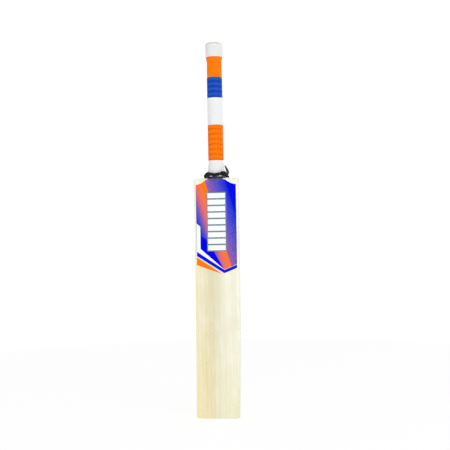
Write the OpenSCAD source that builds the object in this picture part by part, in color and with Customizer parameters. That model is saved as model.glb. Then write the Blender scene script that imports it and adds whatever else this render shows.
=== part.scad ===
// Cricket bat: a one-piece willow blade with a V-spliced, laminated cane handle,
// thread binding, a banded rubber grip and a tied cord at the foot of the grip.
// +Z runs up the handle, the hitting face looks towards -Y, and the origin is
// the centre of the flat on which the toe rests.

/* [Overall] */
// Length from the toe to the end of the grip
total_l = 871.5; // [840:0.5:900]
// Height of the shoulders above the toe
blade_l = 554.5; // [530:0.5:562]

/* [Blade] */
// Width of the blade at the shoulders
blade_w = 105.2; // [103:0.1:108]
// Width of the blade at the toe
blade_toe_w = 99.8; // [98:0.1:103]
// Thickness at the toe, along the centre line
toe_t = 24; // [20:0.5:28]
// Thickness through the spine at the swell
swell_t = 58; // [48:0.5:64]
// Height of the swell above the toe
swell_z = 190; // [150:5:240]
// Thickness through the spine at the shoulders
shoulder_t = 31; // [30:0.5:33]
// Thickness of the side edges at the swell
edge_t = 29; // [24:0.5:38]
// Thickness of the side edges at the toe
edge_toe_t = 14.5; // [12:0.5:17]
// Thickness of the side edges at the shoulders
edge_shoulder_t = 20; // [14:0.5:22]
// How far the toe is bowed forward of the handle
bow = 32; // [10:1:38]
// Camber of the hitting face across its width
face_camber = 3; // [1:0.1:5]
// Rounding of the toe's corners in front view
toe_corner_r = 2; // [2:0.5:12]
// Rounding of the long edges
edge_r = 3.6; // [2:0.1:6]

/* [Splice and handle] */
// Length of the V splice below the shoulders
splice_l = 150; // [120:1:170]
// Half width of the splice at the shoulders
splice_half_w = 19; // [18.5:0.25:21]
// Half width of the splice at its tip
splice_tip_half_w = 2; // [1.5:0.25:3]
// Radius of the laminated cane in the hand
cane_r = 14.2; // [13:0.1:15]
// Radius of the cane at its top end
cane_top_r = 15.8; // [15:0.1:16.5]
// Half width of the cane where it leaves the shoulders
cane_foot_half_w = 17.8; // [16:0.1:18.2]
// Half depth of the cane where it leaves the shoulders
cane_foot_half_d = 15.2; // [14.5:0.1:15.4]
// Thickness of each rubber spring between the laminations
spring_t = 1.5; // [1:0.1:2]
// Width of the middle column of cane strips
strip_w = 12.7; // [10:0.1:14]

/* [Grip and binding] */
// Thickness of the thread binding
twine_t = 0.77; // [0.5:0.01:0.9]
// Outer radius of the grip in the hand
grip_r = 17.6; // [17:0.1:18]
// Outer radius of the thick end of the grip
cap_r = 20.3; // [19.5:0.1:21.5]
// Length of the thick end of the grip
cap_l = 33.5; // [28:0.5:38]
// Height of the ribs moulded into the coloured bands
rib_h = 0.45; // [0.2:0.05:0.8]
// Spacing of those ribs
rib_pitch = 12.1; // [8:0.1:14]
// Thickness of the tied cord
cord_r = 4.6; // [3:0.1:5]

/* [Decals] */
// Thickness of a printed decal
decal_t = 0.2; // [0.1:0.01:0.3]
// Half width of the face panel
panel_half_w = 47.2; // [44:0.1:48]
// Number of bars in the face emblem
bars = 9; // [5:1:11]

/* [Hidden] */

glue = 0.05;                       // glue line between laminations
decal_gap = 0.05;                  // stand-off between a decal and the wood
blade_half_w = blade_w / 2;
handle_y = shoulder_t / 2 + bow - toe_t / 2;   // axis of the handle
tip_z = blade_l - splice_l;        // tip of the V
in_splice_z = blade_l - 0.1;       // the handle follows the blade's surface up to here
foot_z = blade_l + 40;             // the handle is round above here
flare_z = total_l - 38;            // the cane flares above here
flare_l = 14;

// ---------- helpers ----------
function unit(t) = min(max(t, 0), 1);
function ease(t) = let(u = unit(t)) u * u * (3 - 2 * u);
// straight line from start, at x = x0, to end, at x = x1
function line(x, x0, x1, start, end) = start + (end - start) * (x - x0) / (x1 - x0);
function between(start, end, steps) = [for (i = [0:steps]) start + (end - start) * i / steps];
function backwards(list) = [for (i = [len(list) - 1:-1:0]) list[i]];

// a solid through rings, which hold the same even number of points,
// anticlockwise seen from the far end
module loft(rings) {
  n = len(rings[0]);
  m = len(rings);
  sides = [for (i = [0:m - 2]) for (j = [0:n - 1])
    let(a = i * n + j, b = i * n + (j + 1) % n)
    each [[a, b + n, b], [a, a + n, b + n]]];
  foot = [for (j = [0:n / 2 - 2]) each [[j, j + 1, n - 2 - j], [j, n - 2 - j, n - 1 - j]]];
  head = [for (face = foot) [for (k = [2:-1:0]) face[k] + (m - 1) * n]];
  polyhedron(points = [for (ring = rings) each ring],
    faces = concat(sides, foot, head), convexity = 6);
}

// a closed tube between outer and inner rings
module tube(outer, inner) {
  n = len(outer[0]);
  m = len(outer);
  q = n * m;                       // index of the first inner point
  e = (m - 1) * n;                 // index of the first point of the last ring
  walls = [for (i = [0:m - 2]) for (j = [0:n - 1])
    let(a = i * n + j, b = i * n + (j + 1) % n)
    each [[a, b + n, b], [a, a + n, b + n],
          [q + a, q + b, q + b + n], [q + a, q + b + n, q + a + n]]];
  ends = [for (j = [0:n - 1]) let(k = (j + 1) % n)
    each [[j, k, q + k], [j, q + k, q + j],
          [e + j, q + e + k, e + k], [e + j, q + e + j, q + e + k]]];
  polyhedron(points = concat([for (ring = outer) each ring], [for (ring = inner) each ring]),
    faces = concat(walls, ends), convexity = 6);
}

// a 32-sided ring about the handle's axis
function oval(half_w, half_d, z) = [for (i = [0:31]) let(angle = 360 * i / 32)
  [half_w * cos(angle), handle_y + half_d * sin(angle), z]];

// ---------- surfaces of the blade ----------
// rises from the toe to a peak, then falls to the shoulders
function hump(z, peak_z, toe, peak, shoulder) =
  z <= peak_z ? toe + (peak - toe) * sin(90 * max(z, 0) / peak_z)
  : peak - (peak - shoulder) * (0.5 - 0.5 * cos(180 * min((z - peak_z) / (blade_l - peak_z), 1)));
function spine_depth(z) = hump(z, swell_z, toe_t, swell_t, shoulder_t);
function edge_depth(z) = hump(z, swell_z + 10, edge_toe_t, edge_t, edge_shoulder_t);
function face_mid(z) =
  handle_y - shoulder_t / 2 - bow * pow(1 - min(z, blade_l) / blade_l, 2);
function face_y(x, z) = face_mid(z) + face_camber * pow(x / blade_half_w, 2);
// share of the fall from spine to edge, with a softened crest
ridge_soft = 0.12;
function ridge(u) =
  let(v = (sqrt(u * u + ridge_soft * ridge_soft) - ridge_soft)
    / (sqrt(1 + ridge_soft * ridge_soft) - ridge_soft))
  1 - pow(1 - min(v, 1), 1.5);
function back_y(x, z) = face_mid(z) + spine_depth(z)
  - (spine_depth(z) - face_camber - edge_depth(z)) * ridge(min(abs(x) / blade_half_w, 1));
// side is -1 for the face and 1 for the back
function skin_y(x, z, side) = side < 0 ? face_y(x, z) : back_y(x, z);

// ---------- blade ----------
shoulder_corner_r = 3.6;
toe_flat_half_w = 38;              // the toe curves up outside this
toe_rise = 0.8;
shoulder_flat_half_w = 24;         // the shoulders fall away outside this
shoulder_fall = 1.6;
// how far a corner of radius r cuts in, at a height above (or below) the end
function corner_in(height, r) =
  height >= r ? 0 : r - sqrt(max(0, r * r - pow(r - max(height, 0), 2)));
function outward(x, flat) = pow(max(abs(x) - flat, 0) / (blade_half_w - flat), 2);
function toe_lift(x, z) = toe_rise * outward(x, toe_flat_half_w) * max(1 - z / 60, 0);
function shoulder_drop(x, z) =
  shoulder_fall * outward(x, shoulder_flat_half_w) * max((z - blade_l + 70) / 70, 0);
function placed(x, y, z) = [x, y, z + toe_lift(x, z) - shoulder_drop(x, z)];
function half_w(z) = line(z, 0, blade_l, blade_toe_w, blade_w) / 2;

// one side of a cross-section, from -X to +X, with its two rounded edges
function blade_row(z, inset, side) =
  let(half = half_w(z) - inset - corner_in(z, toe_corner_r)
        - corner_in(blade_l - z, shoulder_corner_r),
      bend_x = half - edge_r,
      bend_y = skin_y(bend_x, z, side) - side * inset,
      arc = [for (angle = [0:22.5:90])
        [bend_x + edge_r * cos(angle), bend_y - side * edge_r * (1 - sin(angle))]])
  concat([for (p = arc) placed(-p[0], p[1], z)],
    [for (i = [-13:13]) let(x = bend_x * i / 14) placed(x, skin_y(x, z, side) - side * inset, z)],
    [for (p = backwards(arc)) placed(p[0], p[1], z)]);

// [height, inset of the section]
blade_stations = concat(
  [[0, 1.6], [0.5, 0.75], [1.6, 0], [3, 0], [4.5, 0], [6.5, 0]],
  [for (z = [16:14:blade_l - 20]) [z, 0]],
  [[blade_l - 10, 0], [blade_l - 5.5, 0], [blade_l - 4, 0], [blade_l - 2.5, 0],
   [blade_l - 1.4, 0.25], [blade_l - 0.4, 1], [blade_l, 2]]);

// half width of the V
function splice_w(z) = line(z, tip_z, blade_l, splice_tip_half_w, splice_half_w);

module blade() color([0.94, 0.91, 0.78])
  difference() {
    loft([for (s = blade_stations)
      concat(blade_row(s[0], s[1], -1), backwards(blade_row(s[0], s[1], 1)))]);
    // the V that takes the foot of the handle
    top_z = blade_l + 20;
    tip_w = splice_w(tip_z) + glue;
    top_w = splice_w(top_z) + glue;
    translate([0, handle_y + 60, 0]) rotate([90, 0, 0]) linear_extrude(120)
      polygon([[-tip_w, tip_z - glue], [tip_w, tip_z - glue], [top_w, top_z], [-top_w, top_z]]);
  }

// ---------- laminated cane handle ----------
stack_half_d = cane_r + 0.85;      // half depth taken up by the lamination stack
mid_spring = spring_t / 2;         // half the middle spring
spring_near = (stack_half_d + mid_spring - spring_t) / 2 + mid_spring / 2 - 0.375;
spring_far = spring_near + spring_t;   // the outer springs lie from near to far
beyond = 99;                       // outside the handle, so its surface is the limit
// [front, rear] of each layer, measured from the handle's axis, front layer first
cane_rows = [[-beyond, -spring_far], [-spring_near, -mid_spring],
  [mid_spring, spring_near], [spring_far, beyond]];
spring_rows = [[-spring_far, -spring_near], [-mid_spring, mid_spring],
  [spring_near, spring_far]];

// half width and half depth of the handle above the shoulders
function from_foot(foot) = function(z)
  cane_r + (foot - cane_r) * ease((foot_z - z) / (foot_z - blade_l));
function flared(z) = cane_r + (cane_top_r - cane_r) * ease((z - flare_z) / flare_l);
function cane_half_w(z) = z > flare_z ? flared(z) : from_foot(cane_foot_half_w)(z);
function cane_half_d(z) = z > flare_z ? flared(z) : from_foot(cane_foot_half_d)(z);

// front (side -1) or rear (side 1) surface of the handle, from its axis
function cane_y(x, z, side) = z <= in_splice_z ? skin_y(x, z, side) - handle_y
  : side * cane_half_d(z) * sqrt(max(0, 1 - pow(x / cane_half_w(z), 2)));
// half width of a layer
function reach(z, row) = z <= in_splice_z ? splice_w(z)
  : let(near = row[0] * row[1] < 0 ? 0 : min(abs(row[0]), abs(row[1])))
    cane_half_w(z) * sqrt(1 - pow((near + 0.4) / cane_half_d(z), 2));
function strip_ring(z, row, xs) = concat(
  [for (x = xs) [x, handle_y + max(row[0] + glue / 2, cane_y(x, z, -1)), z]],
  [for (x = backwards(xs)) [x, handle_y + min(row[1] - glue / 2, cane_y(x, z, 1)), z]]);

// height at which the V is wide enough for the side strips to start
side_foot_z = line(strip_w / 2 + 0.5, splice_tip_half_w, splice_half_w, tip_z, blade_l);
// places across a strip; column is -1 left, 0 centre, 1 right
function column_xs(z, row, column) =
  let(outer = reach(z, row), half = strip_w / 2, joint = half + glue / 2)
  column == 0
    ? let(limit = z < side_foot_z - 0.01 ? outer : min(half - glue / 2, outer))
      [for (t = [-1:0.5:1]) limit * t]
    : let(xs = [for (t = [0:0.25:1]) joint + (max(outer, half + 0.4) - joint) * sin(90 * t)])
      column > 0 ? xs : [for (x = backwards(xs)) -x];

shaft_stations = [blade_l + 0.5, for (i = [1:7]) blade_l + 5.5 * i, foot_z,
  for (rise = [0, 4, 8, 11, flare_l]) flare_z + rise];
handle_stations = [for (rise = [0.2, 24, 50, 76, 102, 126]) tip_z + rise,
  blade_l - 14, in_splice_z, each shaft_stations, total_l - 2.8];
side_stations = [side_foot_z, for (z = handle_stations) if (z > side_foot_z + 1) z];
// below the feet of the side strips the middle strips fill the whole V
centre_stations = [for (z = handle_stations) if (z < side_foot_z - 1) z,
  side_foot_z - 0.06, each side_stations];

module cane(i, column) color([0.83, 0.69, 0.45])
  loft([for (z = column == 0 ? centre_stations : side_stations)
    strip_ring(z, cane_rows[i], column_xs(z, cane_rows[i], column))]);

module spring(i) color([0.72, 0.45, 0.25])
  loft([for (z = handle_stations) strip_ring(z, spring_rows[i],
    [for (angle = [-90:22.5:90]) reach(z, spring_rows[i]) * sin(angle)])]);

// ---------- thread binding ----------
// the handle's outline at z, grown all round
function grown(z, by) = oval(cane_half_w(z) + by, cane_half_d(z) + by, z);

module twine_binding() color([0.24, 0.26, 0.30]) {
  stations = [each shaft_stations, total_l - 8];
  tube([for (z = stations) grown(z, 0.03 + twine_t)], [for (z = stations) grown(z, 0.1)]);
}

// ---------- rubber grip ----------
grip_white = [0.93, 0.94, 0.93];
grip_z0 = blade_l + 4;             // lower end of the grip
base_z1 = blade_l + 41.7;          // top of each band, from the white base upwards
orange_z1 = base_z1 + 82.8;
white_z1 = orange_z1 + 63.5;
blue_z1 = white_z1 + 47.5;
cap_z0 = total_l - cap_l;
seam = 0.02;                       // cut back from the end of a band
wide_seam = 0.05;
bore_gap = twine_t + 0.12;         // from the cane to the inside of the grip
function bore(z) = cane_half_w(z) + bore_gap;

// turns a profile of [radius, height] about the handle's axis
module turned(profile) translate([0, handle_y, 0]) rotate_extrude($fn = 96) polygon(profile);

// a band of the sleeve, from outer points [height, radius]; its bore follows the flare
module band(outer) {
  last = len(outer) - 1;
  turned(concat([for (p = outer) [p[1], p[0]]],
    [for (i = [last:-1:0]) let(z = outer[i][0])
      if (i == 0 || i == last || z > flare_z) [bore(z), z]]));
}

// rounded ribs with a narrow groove between each pair
module ribbed_band(z0, z1) {
  count = max(1, round((z1 - z0) / rib_pitch));
  band([for (i = [0:8 * count]) let(t = i / 8)
    [z0 + (z1 - z0) * t / count, grip_r + rib_h * pow(abs(sin(180 * t)), 0.6)]]);
}

module grip_end_cap() color([0.94, 0.94, 0.93]) {
  round_r = 6;
  floor_z = total_l - 2.4;         // foot of the hollow in the end
  turned(concat(
    [[bore(cap_z0), cap_z0 + wide_seam], [cap_r - 0.9, cap_z0 + wide_seam],
     [cap_r - 0.25, cap_z0 + 0.4], [cap_r, cap_z0 + 1.2]],
    [for (angle = [0:11.25:90])
      [cap_r - round_r + round_r * cos(angle), total_l - round_r + round_r * sin(angle)]],
    [[9, total_l - 0.25], [7, total_l - 0.8], [6, total_l - 1.6], [6, floor_z],
     [bore(total_l), floor_z], [bore(total_l), flare_z + flare_l],
     [bore(flare_z + 9), flare_z + 9]]));
}

module grip_band_orange_upper() color([0.98, 0.48, 0.07])
  band([[blue_z1 + wide_seam, grip_r - 0.3], [blue_z1 + 0.8, grip_r - 0.1],
    [blue_z1 + 18, grip_r - 0.3], [cap_z0 - 16, grip_r - 0.2], [cap_z0 - 11, grip_r],
    [cap_z0 - 6, grip_r + 0.6], [cap_z0 - 3, grip_r + 1.25], [cap_z0 - 1, grip_r + 1.5],
    [cap_z0 - seam, grip_r + 1.5]]);

module grip_band_blue() color([0.09, 0.29, 0.71])
  ribbed_band(white_z1 + seam, blue_z1 - seam);

module grip_band_white() color(grip_white)
  band([[orange_z1 + seam, grip_r + 0.1], [orange_z1 + 2, grip_r + 0.4],
    [orange_z1 + 30, grip_r + 0.3], [white_z1 - 8, grip_r + 0.4], [white_z1 - 4, grip_r + 1.1],
    [white_z1 - 1.5, grip_r + 1.3], [white_z1 - 0.4, grip_r + 0.9],
    [white_z1 - seam, grip_r + 0.4]]);

module grip_band_orange_lower() color([0.98, 0.47, 0.03])
  ribbed_band(base_z1 + seam, orange_z1 - seam);

// wall of the base: thin at its lower lip, then thinning gently up to the round handle
function base_wall(z) = grip_r - 0.15 - cane_r - bore_gap
  + (z < grip_z0 + 1 ? -0.6 : 0.25 * ease((foot_z - z) / 30));

module grip_base_white() color(grip_white) {
  low_z = grip_z0 + 4;
  stations = [grip_z0, grip_z0 + 1.2, each between(low_z, base_z1 - wide_seam, 5)];
  tube([for (z = stations) grown(z, bore_gap + base_wall(z))],
    [for (z = stations) grown(z, bore_gap)]);
}

// ---------- tied cord ----------
cord_steps = 40;                   // sections round the loop
cord_sides = 10;                   // points round each section
loop_half_w = 25.6;
loop_half_d = 23;
function loop_centre(angle) = [loop_half_w * cos(angle), handle_y + loop_half_d * sin(angle),
  blade_l + 6.6 + 0.9 * sin(2 * angle + 30) + 0.5 * cos(3 * angle)];
// lumpy, and fatter at the knot on the +X side
function loop_r(angle) = cord_r - 0.5 + 0.4 * cos(5 * angle)
  + 0.5 * exp(-pow((angle > 180 ? angle - 360 : angle) / 40, 2));

module cord_loop() {
  points = [for (i = [0:cord_steps - 1])
    let(turn = 360 * i / cord_steps, centre = loop_centre(turn), r = loop_r(turn))
    for (k = [0:cord_sides - 1])
      let(angle = 360 / cord_sides * k, out = r * 0.94 * cos(angle))
      centre + [out * cos(turn), out * sin(turn), r * sin(angle)]];
  faces = [for (i = [0:cord_steps - 1]) for (k = [0:cord_sides - 1])
    let(here = i * cord_sides, next = (i + 1) % cord_steps * cord_sides,
        k2 = (k + 1) % cord_sides)
    each [[here + k, next + k2, next + k], [here + k, here + k2, next + k2]]];
  polyhedron(points = points, faces = faces, convexity = 6);
}

// the loose end, tapering as it lies up against the grip
module cord_end()
  loft([for (i = [0:6])
    let(t = i / 6, z = blade_l + 5 + 24 * t, w = 3.3 - 2.3 * t * t, d = 1.5 - 0.6 * t,
        x = 26.2 - 4.8 * t * t, y = handle_y - 6.5 - 2.5 * t)
    [[x - w, y - d, z], [x + w, y - d, z], [x + w, y + d, z], [x - w, y + d, z]]]);

module tie_cord() color([0.09, 0.10, 0.12])
  union() {
    cord_loop();
    cord_end();
  }

// ---------- decals ----------
// A skin over the face (side -1) or the back (side 1), split into rows up its height.
// columns hold [x, low z, high z].
module decal(columns, rows, side = -1, standoff = decal_gap, thickness = decal_t)
  loft([for (c = columns)
    let(x = c[0],
        near = [for (z = between(c[1], c[2], rows)) [x, skin_y(x, z, side) + side * standoff, z]],
        far = [for (p = near) [p[0], p[1] + side * thickness, p[2]]])
    side < 0 ? concat(near, backwards(far)) : concat(far, backwards(near))]);

panel_blue = [0.20, 0.25, 0.85];
emblem_white = [0.96, 0.99, 0.98];
left_x = -panel_half_w;
right_x = panel_half_w;
art_z = blade_l + 1.6;             // level that the face artwork is measured down from
panel_top = blade_l - 3.2;
panel_flat_x = 22;                 // the panel's top edge is flat within this
flash_x = left_x + 9.6;            // the panel's lower edge steps down here
tip_x = 18;                        // lowest point of the panel and the blue stripe

// top edge of the panel: flat by the handle, then falling to the sides in a hollow curve
function panel_hi(x) = panel_top - 11.5
  * (1 - pow(1 - unit((abs(x) - panel_flat_x) / (panel_half_w - panel_flat_x)), 1.8));
function panel_lo(x) = art_z - (x < flash_x ? line(x, left_x, flash_x, 106, 114.2)
  : x < tip_x ? line(x, flash_x, tip_x, 166, 214.5)
  : line(x, tip_x, right_x, 214.5, 202.5));
function stripe_hi(x) = art_z - (x < tip_x ? line(x, left_x, tip_x, 171.9, 215.2)
  : line(x, tip_x, right_x, 215.2, 203.2));
function stripe_lo(x) =
  stripe_hi(x) - (x < tip_x ? line(x, left_x, tip_x, 10.4, 7.8) : 7.8);
function flash_hi(x) =
  x < flash_x - 0.5 ? panel_lo(x) - 0.4 : panel_lo(max(x, flash_x)) - 0.7;

module decal_face_panel() color(panel_blue)
  decal([for (x = concat(between(left_x, flash_x - 0.05, 3),
      between(flash_x + 0.05, tip_x, 7), between(tip_x, right_x, 5)))
    [x, panel_lo(x), panel_hi(x)]], rows = 14);

// fills the notch between the panel and the blue stripe
module decal_face_flash() color(emblem_white)
  decal([for (x = concat(between(left_x, flash_x - 0.6, 3),
      between(flash_x - 0.4, tip_x - 3, 8)))
    [x, stripe_hi(x) + 0.3, flash_hi(x)]], rows = 6);

module decal_face_stripe_blue() color([0.01, 0.06, 0.90])
  decal([for (x = concat(between(left_x + 0.6, tip_x, 7), between(tip_x, right_x, 3)))
    [x, stripe_lo(x), stripe_hi(x) - 0.3]], rows = 2);

module decal_face_stripe_orange() color([0.99, 0.49, 0.02]) {
  end_x = 10.8;
  decal([for (x = between(left_x, end_x, 7))
    [x, art_z - line(x, left_x, end_x, 203.6, 224.2),
      art_z - line(x, left_x, end_x, 185.8, 223.6)]], rows = 3);
}

// bars lying over the panel
module decal_face_bars() color(emblem_white) {
  pitch = 136.6 / bars;
  margin = 1.7;                    // half the space between bars
  for (i = [0:bars - 1]) let(z = art_z - 171.4 + pitch * i)
    decal([for (x = between(-19.6, 21.8, 7)) [x, z + margin, z + pitch - margin]], rows = 1,
      standoff = decal_gap + decal_t + 0.04, thickness = 0.12);
}

// tapers away from the spine, to the left (side -1) or the right (side 1)
module decal_back(side) color(panel_blue) {
  inner_x = 8;
  outer_x = 42;
  decal([for (x = side > 0 ? between(inner_x, outer_x, 8) : between(-outer_x, -inner_x, 8))
    let(out = abs(x) - inner_x)
    [x, blade_l - 280 + 0.7 * out, blade_l - 176 - 0.55 * out]], rows = 12, side = 1);
}

blade();
cane(0, -1);  // cane_front_left
cane(0, 0);  // cane_front_centre
cane(0, 1);  // cane_front_right
cane(1, -1);  // cane_midfront_left
cane(1, 0);  // cane_midfront_centre
cane(1, 1);  // cane_midfront_right
cane(2, -1);  // cane_midrear_left
cane(2, 0);  // cane_midrear_centre
cane(2, 1);  // cane_midrear_right
cane(3, -1);  // cane_rear_left
cane(3, 0);  // cane_rear_centre
cane(3, 1);  // cane_rear_right
spring(0);  // spring_front
spring(1);  // spring_middle
spring(2);  // spring_rear
twine_binding();
grip_end_cap();
grip_band_orange_upper();
grip_band_blue();
grip_band_white();
grip_band_orange_lower();
grip_base_white();
tie_cord();
decal_face_panel();
decal_face_flash();
decal_face_stripe_blue();
decal_face_stripe_orange();
decal_face_bars();
decal_back(-1);  // decal_back_left
decal_back(1);  // decal_back_right
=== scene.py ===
# A cricket bat standing on its toe: x runs across the blade, z up the handle. The flat
# hitting face looks towards -y and the ridged back towards +y. The shapes are worked out
# in millimetres and turned into metres when each mesh is built.
import math

import bpy
import bmesh
import numpy as np
from mathutils import Matrix, Vector


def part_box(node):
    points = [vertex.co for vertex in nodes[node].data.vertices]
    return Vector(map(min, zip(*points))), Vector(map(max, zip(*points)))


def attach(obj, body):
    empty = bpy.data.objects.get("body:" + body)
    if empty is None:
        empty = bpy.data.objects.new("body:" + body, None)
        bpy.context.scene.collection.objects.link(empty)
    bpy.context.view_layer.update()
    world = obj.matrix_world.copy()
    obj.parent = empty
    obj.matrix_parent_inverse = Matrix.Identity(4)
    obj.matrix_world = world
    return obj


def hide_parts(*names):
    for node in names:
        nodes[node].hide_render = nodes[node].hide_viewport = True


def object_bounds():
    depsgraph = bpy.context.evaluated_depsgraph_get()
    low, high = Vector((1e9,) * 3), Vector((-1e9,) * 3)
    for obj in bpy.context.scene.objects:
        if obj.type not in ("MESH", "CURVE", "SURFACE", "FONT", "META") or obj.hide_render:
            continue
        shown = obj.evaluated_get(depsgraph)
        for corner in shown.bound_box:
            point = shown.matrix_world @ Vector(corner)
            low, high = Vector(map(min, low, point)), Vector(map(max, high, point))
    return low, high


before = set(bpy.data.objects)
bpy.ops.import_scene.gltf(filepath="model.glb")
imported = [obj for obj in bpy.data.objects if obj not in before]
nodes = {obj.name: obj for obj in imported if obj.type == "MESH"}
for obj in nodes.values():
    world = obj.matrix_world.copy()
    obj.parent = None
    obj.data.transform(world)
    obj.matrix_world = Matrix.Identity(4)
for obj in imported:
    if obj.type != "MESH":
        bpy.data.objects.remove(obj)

cad_low, cad_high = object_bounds()
MM = 0.001
PI = math.pi


def box_mm(piece):
    """Low and high corners of a CAD piece."""
    return [[float(v) / MM for v in corner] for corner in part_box(piece)]


def span_z(piece):
    low, high = box_mm(piece)
    return low[2], high[2]


# ------------------------------------------------------------------ driving sizes, mm
cap_low, cap_high = box_mm("grip_end_cap")
AXIS_Y = (cap_low[1] + cap_high[1]) / 2         # the handle's axis
CAP_R = (cap_high[0] - cap_low[0]) / 2
SHOULDER_Z = span_z("blade")[1]
TOE_HALF_W, SHOULDER_HALF_W = 49.9, 52.6

# blade thickness at the ridge and at the side edges: toe, swell, shoulders
TOE_T, SWELL_T, SHOULDER_T = 24.0, 58.0, 31.0
EDGE_TOE_T, EDGE_SWELL_T, EDGE_SHOULDER_T = 14.5, 29.0, 20.0
SWELL_Z = 190.0
CAMBER = 3.0                                    # the face's fall from middle to edge
BOW = AXIS_Y - SHOULDER_T / 2 + TOE_T / 2       # how far the toe is bowed forward
SIDE_R = 3.6                                    # rounding along the side edges
TOE_CORNER_R, SHOULDER_CORNER_R = 2.0, 3.6      # corners seen from the front
TOE_ROUND, SHOULDER_ROUND = 1.6, 2.0            # rims of the end faces

# V-shaped slot in the blade
V_TIP_Z = span_z("cane_front_centre")[0] - 0.2
V_TIP_HALF_W, V_MOUTH_HALF_W = 2.05, 19.05
V_OVERRUN = 20                                  # the cutter's reach above the shoulders

# handle: a round that turns oval at its foot and flares at its top
CANE_R, CANE_TOP_R = 14.2, 15.8
FOOT_HALF_W, FOOT_HALF_D = 17.8, 15.2
FOOT_Z, FLARE_Z = SHOULDER_Z + 40.0, cap_high[2] - 38.0
TWINE_T, GRIP_GAP = 0.77, 0.12
GRIP_R = 17.6
RIB_TILT = 2.4                                  # the ribs tilt about the axis by this much
LOWER_RIBS, BLUE_RIBS = 7, 4


# ------------------------------------------------------------------ rules of shape
def ease(fraction):
    part = np.clip(fraction, 0, 1)
    return part * part * (3 - 2 * part)


def swell(z, peak_z, toe, peak, shoulder):
    """A thickness that rises from the toe to its peak and falls to the shoulders."""
    z = np.asarray(z, float)
    rising = toe + (peak - toe) * np.sin(PI / 2 * np.clip(z, 0, peak_z) / peak_z)
    above = np.clip((z - peak_z) / (SHOULDER_Z - peak_z), 0, 1)
    falling = peak - (peak - shoulder) * (0.5 - 0.5 * np.cos(PI * above))
    return np.where(z <= peak_z, rising, falling)


def half_width(z):
    return TOE_HALF_W + (SHOULDER_HALF_W - TOE_HALF_W) * z / SHOULDER_Z


def face_middle(z):
    return AXIS_Y - SHOULDER_T / 2 - BOW * (1 - np.minimum(z, SHOULDER_Z) / SHOULDER_Z) ** 2


def face_y(x, z):
    return face_middle(z) + CAMBER * (np.asarray(x) / SHOULDER_HALF_W) ** 2


def ridge_fall(across):
    """0 on the back's ridge to 1 at the edge, with a softened crest."""
    crest = 0.12
    fall = (np.sqrt(across * across + crest * crest) - crest) / (
        math.sqrt(1 + crest * crest) - crest)
    return 1 - (1 - np.minimum(fall, 1)) ** 1.5


def back_y(x, z):
    across = np.minimum(np.abs(x) / SHOULDER_HALF_W, 1)
    thick = swell(z, SWELL_Z, TOE_T, SWELL_T, SHOULDER_T)
    edge = swell(z, SWELL_Z + 10, EDGE_TOE_T, EDGE_SWELL_T, EDGE_SHOULDER_T)
    return face_middle(z) + thick - (thick - CAMBER - edge) * ridge_fall(across)


def handle_half(z, foot_half):
    """The handle's half size, given its half size at the foot."""
    flared = CANE_R + (CANE_TOP_R - CANE_R) * ease((z - FLARE_Z) / 14)
    return float(np.where(z > FLARE_Z, flared,
                          CANE_R + (foot_half - CANE_R) * ease((FOOT_Z - z) / 40)))


def bore(z, foot_half=FOOT_HALF_W):
    """Half size of the hollow in the grip, across the handle unless told otherwise."""
    return handle_half(z, foot_half) + TWINE_T + GRIP_GAP


def quarter_turn(steps):
    """(cosine, sine) pairs from 0 to 90 degrees."""
    angles = [PI / 2 * k / steps for k in range(steps + 1)]
    return [(math.cos(angle), math.sin(angle)) for angle in angles]


# ------------------------------------------------------------------ material builder
def srgb(red, green, blue):
    """Linear colour from sRGB levels of 0 to 255."""
    def linear(level):
        level = level / 255
        return level / 12.92 if level <= 0.04045 else ((level + 0.055) / 1.055) ** 2.4
    return (linear(red), linear(green), linear(blue), 1.0)


class Value:
    """A shader output. Arithmetic on it adds Math nodes."""

    def __init__(self, mat, socket):
        self.mat = mat
        self.socket = socket

    def op(self, kind, *others):
        return self.mat.math(kind, self, *others)

    def __add__(self, other):
        return self.op("ADD", other)

    def __radd__(self, other):
        return self.mat.math("ADD", other, self)

    def __sub__(self, other):
        return self.op("SUBTRACT", other)

    def __rsub__(self, other):
        return self.mat.math("SUBTRACT", other, self)

    def __mul__(self, other):
        return self.op("MULTIPLY", other)

    def __truediv__(self, other):
        return self.op("DIVIDE", other)

    def clamped(self):
        self.socket.node.use_clamp = True
        return self

    def ramp(self, stops):
        """stops: (position, linear colour)"""
        ramp = self.mat.value("ValToRGB", {0: self})
        elements = ramp.socket.node.color_ramp.elements
        while len(elements) < len(stops):
            elements.new(0.5)
        for element, (position, colour) in zip(elements, stops):
            element.position = position
            element.color = colour
        return ramp

    def colours(self, *stops):
        """stops: (position, red, green, blue) in sRGB"""
        return self.ramp([(stop[0], srgb(*stop[1:])) for stop in stops])

    def levels(self, *stops):
        """stops: (position, level)"""
        return self.ramp([(position, (level, level, level, 1)) for position, level in stops])

    def rise(self, start, end):
        return self.levels((start, 0.0), (end, 1.0))

    def fall(self, start, end):
        return self.levels((start, 1.0), (end, 0.0))

    def toward(self, colour, factor):
        return self.mat.mix(factor, self, colour)


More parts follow.
